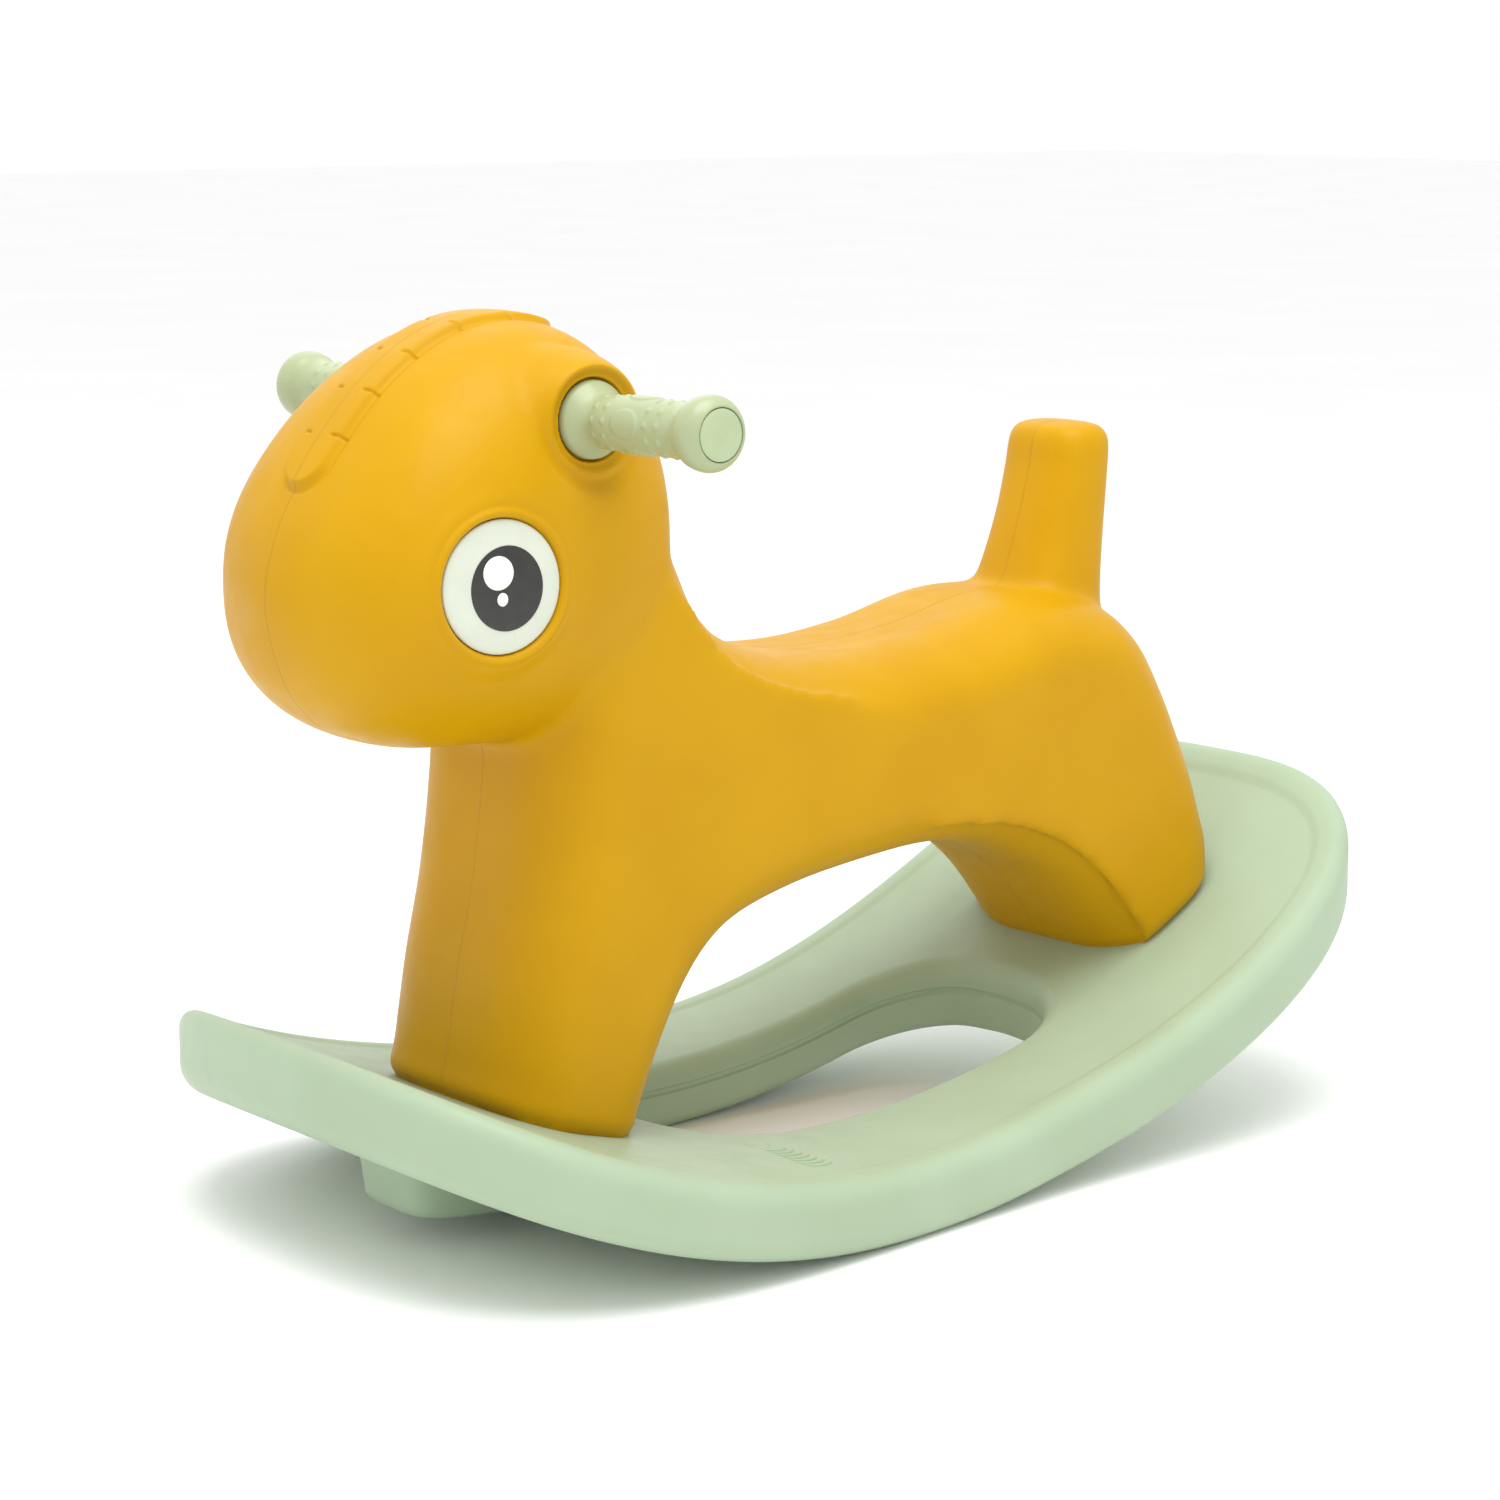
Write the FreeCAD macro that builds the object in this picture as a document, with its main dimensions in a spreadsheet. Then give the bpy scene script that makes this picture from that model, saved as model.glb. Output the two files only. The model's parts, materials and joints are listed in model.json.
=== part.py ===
import FreeCAD, Part
import math
import os

from FreeCAD import Placement, Rotation, Vector

# Toddler's rocking horse, blow-moulded in two hollow pieces.
# +X is the way the horse faces, +Y is its left side, +Z is up, Z = 0 is the floor.
# X = 0 is the middle of the rocker board. All sizes are in millimetres.

doc = FreeCAD.newDocument("rocking_horse")
sheet = doc.addObject("Spreadsheet::Sheet", "Sizes")

DRIVING = {
    # rocker board, a slab bent to a circle round an axis along Y
    "board_length": 634,
    "board_front_width": 350,
    "board_rear_width": 302,
    "board_thickness": 38,
    "board_wall": 3.5,
    "board_round": 12,
    "board_corner_round": 80,
    "rock_radius": 560,
    "rock_middle": 46,
    # anti-tip stop under the front of the board, flat on the floor at the stop angle
    "stop_angle": 6.5,
    "stop_width": 54,
    "stop_near": 104,
    "stop_far": 212,
    # hand-hold opening through the board
    "opening_front": 113,
    "opening_rear": -144,
    "opening_width": 132,
    "opening_round": 50,
    "opening_edge_round": 8,
    # trunk and legs, one slab with rounded edges
    "trunk_width": 142,
    "trunk_round": 30,
    "body_wall": 3,
    "front_foot_front": 226,
    "front_foot_length": 80,
    "rear_foot_front": -184,
    "rear_foot_length": 80,
    "neck_front": 203,
    "neck_back": 109,
    "neck_height": 325,
    "saddle_height": 266,
    "rump_height": 285,
    "belly_front_height": 156,
    "belly_rear_height": 174,
    # head
    "head_front": 319,
    "head_back": 111,
    "head_width": 176,
    "chin_height": 240,
    "crown_height": 444,
    "mane_width": 30,
    "mane_rise": 3,
    # tail
    "tail_front": -166,
    "tail_thickness": 40,
    "tail_width": 60,
    "tail_height": 371,
    # handlebar
    "handle_x": 187,
    "handle_height": 399,
    "handle_span": 342,
    "tube_diameter": 16,
    "tube_wall": 1.5,
    "tube_inset": 22,
    "plug_length": 22,
    "grip_web": 8,
    "grip_washer_thickness": 0.8,
    "grip_diameter": 25.5,
    "knob_diameter": 34.8,
    "flange_diameter": 37,
    "seat_diameter": 45,
    "seat_lip_width": 5,
    "seat_span": 146,
    "seat_depth": 4,
    "grip_cap_diameter": 24,
    "grip_cap_thickness": 2.5,
    "grip_screw_diameter": 4,
    # eyes
    "eye_x": 242,
    "eye_height": 327,
    "eye_diameter": 62,
    "eye_thickness": 3,
    "eye_seat_span": 164,
    "pupil_diameter": 38,
    "highlight_diameter": 14,
    "small_highlight_diameter": 5.4,
    "print_depth": 0.8,
    # leg bolts
    "bolt_diameter": 8,
    "bolt_pitch": 80,
    "bolt_head_diameter": 14,
    "bolt_head_height": 5,
    "washer_diameter": 18,
    "washer_thickness": 1.6,
    "insert_diameter": 14,
    "insert_length": 20,
    "post_wall": 4,
    # fit clearances, on the radius
    "slip": 0.25,
}

for row, (alias, value) in enumerate(DRIVING.items(), start=1):
    sheet.set("A%d" % row, alias)
    sheet.set("B%d" % row, str(value))
    sheet.setAlias("B%d" % row, alias)
doc.recompute()


def size(alias):
    """Return one driving dimension as a plain number."""
    return float(sheet.get(alias))


ALONG_Y = Rotation(Vector(1, 0, 0), -90)
TOP_RADIUS = size("rock_radius") - size("board_thickness")
ARC_CENTRE = Vector(size("rock_middle"), 0, size("rock_radius"))
SIDES = (("left", 1), ("right", -1))


def arc_height(x, radius):
    """Height at x of the lower half of a circle round the rocking axis."""
    return ARC_CENTRE.z - math.sqrt(radius ** 2 - (x - ARC_CENTRE.x) ** 2)


def bind(obj, **expressions):
    """Bind properties of an object to formulas that name cells of the sheet."""
    for prop, formula in expressions.items():
        obj.setExpression(prop.replace("__", "."), formula)
    return obj


def cylinder(name, radius, height, base, rotation=Rotation()):
    """Make a Part::Cylinder with a bound radius and height."""
    obj = bind(doc.addObject("Part::Cylinder", name), Radius=radius, Height=height)
    obj.Placement = Placement(base, rotation)
    return obj


def cut(name, base, tool):
    """Subtract one object from another."""
    obj = doc.addObject("Part::Cut", name)
    obj.Base = base
    obj.Tool = tool
    return obj


def fused(name, objects):
    """Fuse several objects."""
    obj = doc.addObject("Part::MultiFuse", name)
    obj.Shapes = objects
    return obj


def solid_feature(name, shape):
    """Keep a worked-out shape as an object of the document."""
    obj = doc.addObject("Part::Feature", name)
    obj.Shape = shape
    return obj


def drum(radius, half_width):
    """Solid cylinder round the rocking axis, as wide as asked."""
    start = Vector(ARC_CENTRE.x, -half_width, ARC_CENTRE.z)
    return Part.makeCylinder(radius, 2 * half_width, start, Vector(0, 1, 0))


# ---------------------------------------------------------------- rocker board

WIDE = size("board_front_width")
TALL = size("crown_height")


def board_prism(inset):
    """Prism of the board's outline, a long hexagon with rounded corners, up past both tips."""
    half_length = size("board_length") / 2 - inset
    front = size("board_front_width") / 2 - inset
    rear = size("board_rear_width") / 2 - inset
    taper = size("board_length") / 6
    corners = [(half_length, front), (half_length - taper, front), (-half_length, rear)]
    loop = [Vector(x, y, -size("board_thickness")) for x, y in corners]
    loop += [Vector(p.x, -p.y, p.z) for p in reversed(loop)]
    face = Part.Face(Part.makePolygon(loop + loop[:1]))
    prism = face.extrude(Vector(0, 0, size("rock_radius")))
    uprights = [e for e in prism.Edges if abs(e.tangentAt(e.FirstParameter).z) > 0.9]
    ends = [e for e in uprights if abs(e.BoundBox.XMin) > half_length - 1]
    return prism.makeFillet(size("board_corner_round") - inset, ends)


def opening_prism(grow):
    """Prism of the rounded opening, grown outwards by a wall."""
    front = size("opening_front") + grow
    rear = size("opening_rear") - grow
    half = size("opening_width") / 2 + grow
    box = Part.makeBox(front - rear, 2 * half, size("rock_radius") / 2, Vector(rear, -half, -1))
    uprights = [e for e in box.Edges if abs(e.tangentAt(e.FirstParameter).z) > 0.9]
    return box.makeFillet(size("opening_round") + grow, uprights)


def bent_slab(outer_radius, inner_radius, inset):
    """The slab between two circles, trimmed to the board's outline."""
    slab = drum(outer_radius, WIDE).cut(drum(inner_radius, WIDE))
    return slab.common(board_prism(inset))


def stop_block(inset):
    """Wedge under the front whose sole meets the floor when rocked to the stop angle."""
    angle = math.radians(size("stop_angle"))
    near = size("stop_near") + inset
    far = size("stop_far") - inset
    half_width = size("stop_width") / 2 - inset
    touch = size("rock_radius") * math.sin(angle)
    lift = size("rock_radius") * (1 - math.cos(angle)) + inset
    draft = (far - near) / 6
    buried = TOP_RADIUS + size("board_thickness") / 2

    def corner(run, height):
        return Vector(ARC_CENTRE.x + run, -half_width, height)

    def in_slab(run):
        return corner(run, arc_height(ARC_CENTRE.x + run, buried))

    soles = [corner(run, lift + (run - touch) * math.tan(angle)) for run in (near, far)]
    loop = soles + [in_slab(far + draft), in_slab(near - draft)]
    face = Part.Face(Part.makePolygon(loop + loop[:1]))
    return face.extrude(Vector(0, 2 * half_width, 0))


def rim_edges(shape):
    """Edges that run along the board's upper or lower face, not across its thickness."""
    return [e for e in shape.Edges if e.Length > size("board_thickness") * 1.5]


def inside_opening(edge):
    """True for an edge that belongs to the opening through the board."""
    box = edge.BoundBox
    reach = size("opening_width") / 2 + 1
    ahead = size("opening_front") + 1
    behind = size("opening_rear") - 1
    return box.YMax < reach and box.YMin > -reach and box.XMax < ahead and box.XMin > behind


def board_form():
    """Outer form of the board: outline, opening, rounded edges and stops."""
    slab = bent_slab(size("rock_radius"), TOP_RADIUS, 0)
    slab = slab.makeFillet(size("board_round"), rim_edges(slab))
    slab = slab.cut(opening_prism(0))
    hole = [e for e in rim_edges(slab) if inside_opening(e)]
    slab = slab.makeFillet(size("opening_edge_round"), hole)
    return slab.fuse(stop_block(0))


FOOT_MIDDLES = {
    "front": size("front_foot_front") - size("front_foot_length") / 2,
    "rear": size("rear_foot_front") - size("rear_foot_length") / 2,
}
POST_RADIUS = size("washer_diameter") / 2 + size("slip") + size("post_wall")


def bolt_places(leg):
    """Axis positions of the two bolts of a leg, at Z = 0."""
    half = size("bolt_pitch") / 2
    return [Vector(FOOT_MIDDLES[leg], side * half, 0) for _, side in SIDES]


def rod(place, radius, bottom, top):
    """Upright solid cylinder between two heights."""
    return Part.makeCylinder(radius, top - bottom, Vector(place.x, place.y, bottom))


def washer_seat(leg):
    """Height of the flat face in the board that a leg's washers bear on."""
    run = abs(FOOT_MIDDLES[leg] - ARC_CENTRE.x) - POST_RADIUS
    return arc_height(ARC_CENTRE.x + run, TOP_RADIUS) - 2 * size("board_wall")


def board_hollow():
    """Cavity of the board, with solid posts left round the bolts."""
    wall = size("board_wall")
    hollow = bent_slab(size("rock_radius") - wall, TOP_RADIUS + wall, 2 * wall)
    hollow = hollow.cut(opening_prism(2 * wall))
    hollow = hollow.fuse(stop_block(wall))
    posts = [rod(p, POST_RADIUS, -1, TALL) for leg in FOOT_MIDDLES for p in bolt_places(leg)]
    return hollow.cut(posts)


def bolt_passages():
    """Shank holes and the counterbores that take the heads and washers."""
    tools = []
    for leg in FOOT_MIDDLES:
        seat = washer_seat(leg)
        for place in bolt_places(leg):
            tools.append(rod(place, size("bolt_diameter") / 2 + size("slip"), -1, TALL / 2))
            tools.append(rod(place, size("washer_diameter") / 2 + size("slip"), -1, seat))
    return tools


rocker_base = solid_feature("rocker_base", board_form().cut(board_hollow()).cut(bolt_passages()))


# ---------------------------------------------------------------- horse body

def smooth(points):
    """Edge along a smooth curve through points given as (x, z)."""
    curve = Part.BSplineCurve()
    curve.interpolate([Vector(x, 0, z) for x, z in points])
    return curve.toShape()


def trunk_form(inset):
    """Neck, trunk and both legs: one slab with a side outline and rounded edges."""
    front = size("front_foot_front") - inset
    front_back = front - size("front_foot_length") + 2 * inset
    rear = size("rear_foot_front") - inset
    rear_back = rear - size("rear_foot_length") + 2 * inset
    foot = arc_height(FOOT_MIDDLES["front"], TOP_RADIUS)
    sole = foot - size("board_thickness")
    neck_front = size("neck_front") - inset
    neck_back = size("neck_back") + inset
    neck_middle = (neck_front + neck_back) / 2
    neck_radius = (neck_front - neck_back) / 2
    saddle = size("saddle_height") - inset
    rump = size("rump_height") - inset
    belly_front = size("belly_front_height") + inset
    belly_rear = size("belly_rear_height") + inset
    belly = (belly_front + belly_rear) / 2

    back = [
        (front + 3, sole),
        (front, foot + 8),
        (neck_front + 8, belly_front + 20),
        (neck_front, saddle - 34),
    ] + [
        (neck_middle + neck_radius * math.cos(a), size("neck_height") + neck_radius * math.sin(a))
        for a in (math.radians(degrees) for degrees in (0, 45, 90, 135, 180))
    ] + [
        (neck_back - 26, saddle + 22),
        (neck_back - 64, saddle + 4),
        (neck_back - 114, saddle),
        (size("tail_front") + 70, rump - 8),
        (size("tail_front") + 12, rump),
        (rear_back + 70, rump - 28),
        (rear_back + 36, rump - 74),
        (rear_back + 14, rump - 130),
        (rear_back, foot + 30),
        (rear_back - 3, sole),
    ]
    arch = [
        (rear, sole),
        (rear + 5, foot + 22),
        (rear + 30, belly_rear - 42),
        (rear + 58, belly_rear - 14),
        (rear + 92, belly_rear - 2),
        (rear + 140, belly_rear - 6),
        ((rear + front_back) / 2, belly),
        (front_back - 74, belly_front + 1),
        (front_back - 46, belly_front - 6),
        (front_back - 24, belly_front - 24),
        (front_back - 7, foot + 16),
        (front_back, sole),
    ]
    soles = [
        Part.makeLine(Vector(rear_back - 3, 0, sole), Vector(rear, 0, sole)),
        Part.makeLine(Vector(front_back, 0, sole), Vector(front + 3, 0, sole)),
    ]
    wire = Part.Wire([smooth(back), soles[0], smooth(arch), soles[1]])
    half_width = size("trunk_width") / 2 - inset
    face = Part.Face(wire)
    face.translate(Vector(0, -half_width, 0))
    slab = face.extrude(Vector(0, 2 * half_width, 0))
    rims = [e for e in slab.Edges if flat_rim(e, half_width) and e.BoundBox.ZMax > foot + 30]
    return slab.makeFillet(size("trunk_round") - inset, rims)


def flat_rim(edge, half_width):
    """True for an edge that lies in one of the slab's two side faces."""
    box = edge.BoundBox
    return box.YMax - box.YMin < 1 and abs(abs(box.Center.y) - half_width) < 1


def superellipse(centre, wide, tall, half_width, half_height, power):
    """Closed smooth wire, squarer than an ellipse, in the plane of two unit vectors."""
    count = 16
    points = []
    for i in range(count):
        angle = 2 * math.pi * i / count
        c = math.cos(angle)
        n = math.sin(angle)
        u = half_width * math.copysign(abs(c) ** (2 / power), c)
        v = half_height * math.copysign(abs(n) ** (2 / power), n)
        points.append(centre + wide * u + tall * v)
    curve = Part.BSplineCurve()
    curve.interpolate(Points=points, PeriodicFlag=True)
    return Part.Wire(curve.toShape())


def head_form(inset):
    """Egg-shaped head, a loft of upright sections from the snout to the back."""
    front = size("head_front")
    length = front - size("head_back")
    chin = size("chin_height")
    height = size("crown_height") - chin
    # share of length behind the snout, then bottom, top and width as shares of the head's
    sections = (
        (0.005, 0.32, 0.42, 0.16),
        (0.04, 0.20, 0.54, 0.50),
        (0.09, 0.12, 0.63, 0.75),
        (0.17, 0.055, 0.75, 0.91),
        (0.29, 0.015, 0.87, 0.98),
        (0.45, 0.0, 0.97, 1.0),
        (0.62, 0.0, 1.0, 0.98),
        (0.78, 0.02, 0.97, 0.92),
        (0.90, 0.09, 0.87, 0.80),
        (0.965, 0.18, 0.73, 0.62),
        (0.995, 0.32, 0.58, 0.34),
    )
    wires = []
    for behind, low, high, wide in sections:
        x = front - inset - behind * (length - 2 * inset)
        bottom = chin + inset + low * (height - 2 * inset)
        top = chin + inset + high * (height - 2 * inset)
        half_width = wide * (size("head_width") / 2 - inset)
        centre = Vector(x, 0, (bottom + top) / 2)
        half_height = (top - bottom) / 2
        wires.append(superellipse(centre, Vector(0, 1, 0), Vector(0, 0, 1), half_width, half_height, 2.4))
    return Part.makeLoft(wires, True, False)


def tail_form(inset):
    """Upright tail, a loft of level sections that lean back and flare at the root."""
    top = size("tail_height") - inset
    root = size("saddle_height") - 2 * inset
    front = size("tail_front")
    thick = size("tail_thickness")
    # share of the height, lean of the front face, extra thickness and share of the width
    sections = (
        (0.0, 38, 33, 1.3),
        (0.28, 22, 17, 1.12),
        (0.55, 11, 6, 1.0),
        (0.82, 3, 0, 0.97),
        (0.95, 0, -1, 0.90),
        (1.0, -5, -12, 0.70),
    )
    wires = []
    for share, lean, extra, wide in sections:
        half_thick = (thick + extra) / 2 - inset
        middle = front + lean - (thick + extra) / 2
        centre = Vector(middle, 0, root + share * (top - root))
        half_width = wide * size("tail_width") / 2 - inset
        wires.append(superellipse(centre, Vector(1, 0, 0), Vector(0, 1, 0), half_thick, half_width, 2.8))
    return Part.makeLoft(wires, True, False)


def seat_ring(side):
    """Soft raised lip round a handle's seat on the side of the head."""
    radius = size("seat_diameter") / 2 + size("seat_lip_width")
    depth = size("head_width") / 4
    outer = size("seat_span") / 2 + size("seat_depth")
    start = Vector(size("handle_x"), side * (outer - depth), size("handle_height"))
    ring = Part.makeCylinder(radius, depth, start, Vector(0, side, 0))
    rim = [e for e in ring.Edges if abs(e.BoundBox.Center.y - side * outer) < 0.1 and e.Length > radius]
    return ring.makeFillet(size("seat_lip_width") * 0.6, rim)


def mane_ridge():
    """Raised strip over the crown: the head's own form, grown and kept to a narrow band."""
    half = size("mane_width") / 2
    rear = size("handle_x") - 20
    band = Part.makeBox(WIDE, 2 * half, WIDE, Vector(rear, -half, size("handle_height") - 10))
    return head_form(-size("mane_rise")).common(band)


def side_cylinder(x, z, radius, near, side, reach):
    """Solid cylinder along Y from a plane at a distance from the middle, outwards."""
    start = Vector(x, side * near, z)
    return Part.makeCylinder(radius, reach, start, Vector(0, side, 0))


def body_pockets():
    """Handle seats, eye seats and the handlebar's passage through the head."""
    tools = []
    for _, side in SIDES:
        seat = size("seat_span") / 2
        eye_seat = size("eye_seat_span") / 2
        radius = size("eye_diameter") / 2 + 2 * size("slip")
        tools.append(side_cylinder(size("handle_x"), size("handle_height"), size("seat_diameter") / 2,
                                   seat, side, WIDE / 2))
        tools.append(side_cylinder(size("eye_x"), size("eye_height"), radius, eye_seat, side, WIDE / 2))
    bore = size("tube_diameter") / 2 + size("slip")
    start = Vector(size("handle_x"), -WIDE / 2, size("handle_height"))
    tools.append(Part.makeCylinder(bore, WIDE, start, Vector(0, 1, 0)))
    return tools


def insert_bottom(leg):
    """Height of the lower face of a leg's threaded inserts, inside the sole."""
    run = abs(FOOT_MIDDLES[leg] - ARC_CENTRE.x) + size("insert_diameter") / 2
    return arc_height(ARC_CENTRE.x + run, TOP_RADIUS) + size("body_wall")


def insert_pockets():
    """Blind pockets for the threaded inserts, and the shank holes below and above them."""
    tools = []
    for leg in FOOT_MIDDLES:
        bottom = insert_bottom(leg)
        top = bottom + size("insert_length")
        for place in bolt_places(leg):
            tools.append(rod(place, size("insert_diameter") / 2, bottom, top))
            tools.append(rod(place, size("bolt_diameter") / 2 + size("slip"), 0, top + size("bolt_diameter")))
    return tools


def body_shape():
    """Hollow horse standing on the board, with its seats and bosses."""
    wall = size("body_wall")
    form = trunk_form(0).fuse([head_form(0), tail_form(0), mane_ridge(), seat_ring(1), seat_ring(-1)])
    form = form.common(drum(TOP_RADIUS, WIDE))
    hollow = trunk_form(wall).fuse([head_form(wall), tail_form(wall)])
    hollow = hollow.common(drum(TOP_RADIUS - wall, WIDE))
    pads = []
    for _, side in SIDES:
        radius = size("seat_diameter") / 2 + size("seat_lip_width")
        pads.append(side_cylinder(size("handle_x"), size("handle_height"), radius,
                                  size("seat_span") / 2 - wall, side, WIDE / 4))
        radius = size("eye_diameter") / 2 + 2 * wall
        pads.append(side_cylinder(size("eye_x"), size("eye_height"), radius,
                                  size("eye_seat_span") / 2 - wall, side, WIDE / 4))
    for leg in FOOT_MIDDLES:
        top = insert_bottom(leg) + size("insert_length") + size("bolt_diameter") + wall
        for place in bolt_places(leg):
            pads.append(rod(place, size("insert_diameter") / 2 + wall, 0, top))
    hollow = hollow.cut(pads)
    return form.cut(hollow).cut(body_pockets() + insert_pockets())


horse_body = solid_feature("horse_body", body_shape())


# ---------------------------------------------------------------- handlebar

GRIP_START = size("seat_span") / 2
TUBE_HALF = size("handle_span") / 2 - size("tube_inset")
HANDLE_END = size("handle_span") / 2


def handle_point(y):
    """Point on the handlebar's axis."""
    return Vector(size("handle_x"), y, size("handle_height"))


def tube():
    """Drawn tube through the head that carries both grips."""
    outer = cylinder("tube_outside", "Sizes.tube_diameter / 2", "Sizes.handle_span - 2 * Sizes.tube_inset",
                     handle_point(-TUBE_HALF), ALONG_Y)
    bore = cylinder("tube_bore", "Sizes.tube_diameter / 2 - Sizes.tube_wall", "Sizes.handle_span - 2 * Sizes.tube_inset",
                    handle_point(-TUBE_HALF), ALONG_Y)
    return cut("handlebar_tube", outer, bore)


handlebar_tube = tube()


def turned(name, outline, side):
    """Body of revolution about the handlebar's axis, from (distance out, radius) points."""
    points = [Vector(radius, out, 0) for out, radius in outline]
    wire = Part.makePolygon(points + points[:1])
    shape = Part.Face(wire).revolve(Vector(0, 0, 0), Vector(0, 1, 0), 360)
    feature = solid_feature(name, shape)
    turn = Rotation() if side > 0 else Rotation(Vector(0, 0, 1), 180)
    feature.Placement = Placement(handle_point(0), turn)
    return feature


def grip_profile():
    """Outline of a grip: flange, bell, handle, knob, with the tube's socket inside."""
    grip = size("grip_diameter") / 2
    knob = size("knob_diameter") / 2
    flange = size("flange_diameter") / 2
    socket = size("tube_diameter") / 2 + size("slip") / 2
    screw = size("grip_screw_diameter") / 2 + size("slip")
    cap = size("grip_cap_diameter") / 2 + size("slip")
    cap_seat = HANDLE_END - size("grip_cap_thickness")
    washer_seat_y = TUBE_HALF + size("grip_web")
    head_room = size("grip_screw_diameter") * 1.2
    return [
        (GRIP_START, socket),
        (GRIP_START, flange - 1.5),
        (GRIP_START + 1.5, flange),
        (GRIP_START + 5, flange),
        (GRIP_START + 9, flange - 3.5),
        (GRIP_START + 15, grip - 1),
        (GRIP_START + 18, grip - 1),
        (GRIP_START + 22, grip),
        (HANDLE_END - 26, grip),
        (HANDLE_END - 19, grip + 1.5),
        (HANDLE_END - 12, knob - 0.8),
        (HANDLE_END - 8, knob),
        (HANDLE_END - 4, knob - 0.8),
        (HANDLE_END, knob - 4),
        (HANDLE_END, cap),
        (cap_seat, cap),
        (cap_seat, head_room),
        (washer_seat_y, head_room),
        (washer_seat_y, screw),
        (TUBE_HALF, screw),
        (TUBE_HALF, socket),
    ]


def grip_bumps(side):
    """Raised ovals round the grip for a sure hold."""
    bumps = []
    radius = size("grip_diameter") / 2
    stations = 3
    around = 6
    for station in range(stations):
        out = GRIP_START + 32 + station * 13
        for step in range(around):
            angle = math.radians(360 / around * (step + 0.5 * (station % 2)))
            offset = Vector(math.cos(angle), 0, math.sin(angle)) * (radius - 0.6)
            bumps.append(Part.makeSphere(2.6, handle_point(side * out) + offset))
    return bumps


def grip(name, side):
    """One moulded grip with its bumps."""
    plain = turned(name + "_turned", grip_profile(), side)
    bumps = solid_feature(name + "_bumps", Part.makeCompound(grip_bumps(side)))
    socket = cylinder(name + "_socket", "Sizes.tube_diameter / 2 + Sizes.slip / 2",
                      "Sizes.handle_span / 2 - Sizes.tube_inset", handle_point(-TUBE_HALF if side < 0 else 0), ALONG_Y)
    raised = cut(name + "_raised", bumps, socket)
    return fused(name, [plain, raised])


grips = [grip(label + "_grip", side) for label, side in SIDES]


def grip_hardware(label, side):
    """End plug in the tube, screw and washer that hold a grip, and the grip's cap."""
    bore = size("tube_diameter") / 2 - size("tube_wall")
    shank = size("grip_screw_diameter") / 2
    seat = TUBE_HALF + size("grip_web")
    washer = size("grip_washer_thickness")
    head = size("grip_screw_diameter") * 0.7
    cap_back = HANDLE_END - size("grip_cap_thickness")
    plug_length = size("plug_length")
    parts = [
        turned(label + "_tube_plug", [
            (TUBE_HALF - plug_length, shank), (TUBE_HALF - plug_length, bore - 1),
            (TUBE_HALF - plug_length + 2, bore), (TUBE_HALF, bore), (TUBE_HALF, shank)], side),
        turned(label + "_grip_washer", [
            (seat, shank + 0.1), (seat, shank * 2.2), (seat + washer, shank * 2.2),
            (seat + washer, shank + 0.1)], side),
        turned(label + "_grip_screw", [
            (TUBE_HALF - plug_length + 4, 0), (TUBE_HALF - plug_length + 6, shank),
            (seat + washer, shank), (seat + washer, shank * 2), (seat + washer + head * 0.6, shank * 2),
            (seat + washer + head, shank * 1.4), (seat + washer + head, 0)], side),
        turned(label + "_grip_cap", [
            (cap_back, 0), (cap_back, size("grip_cap_diameter") / 2),
            (HANDLE_END - 0.8, size("grip_cap_diameter") / 2), (HANDLE_END, size("grip_cap_diameter") / 2 - 0.8),
            (HANDLE_END, 0)], side),
    ]
    return parts


hardware = [part for label, side in SIDES for part in grip_hardware(label, side)]


# ---------------------------------------------------------------- eyes

EYE_FACE = size("eye_seat_span") / 2 + size("eye_thickness")


def disc(x, z, diameter, inner, outer, side):
    """Flat disc on the side of the head between two distances from the middle."""
    return side_cylinder(x, z, diameter / 2, inner, side, outer - inner)


def eye(label, side):
    """Eye disc with a black pupil and two white highlights let into it."""
    x = size("eye_x")
    z = size("eye_height")
    depth = size("print_depth")
    pupil_x = x - size("pupil_diameter") * 0.05
    large = (x + size("pupil_diameter") * 0.05, z + size("pupil_diameter") * 0.17)
    small = (x, z - size("pupil_diameter") * 0.13)
    pupil_floor = EYE_FACE - depth
    light_floor = EYE_FACE - depth / 2
    highlights = [
        disc(*large, size("highlight_diameter"), light_floor, EYE_FACE, side),
        disc(*small, size("small_highlight_diameter"), light_floor, EYE_FACE, side),
    ]
    pupil_disc = disc(pupil_x, z, size("pupil_diameter"), pupil_floor, EYE_FACE, side)
    white = disc(x, z, size("eye_diameter"), size("eye_seat_span") / 2, EYE_FACE, side)
    return [
        solid_feature(label + "_eye_disc", white.cut(pupil_disc)),
        solid_feature(label + "_eye_pupil", pupil_disc.cut(highlights)),
        solid_feature(label + "_eye_highlights", Part.makeCompound(highlights)),
    ]


eyes = [part for label, side in SIDES for part in eye(label, side)]


# ---------------------------------------------------------------- leg fasteners

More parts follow.
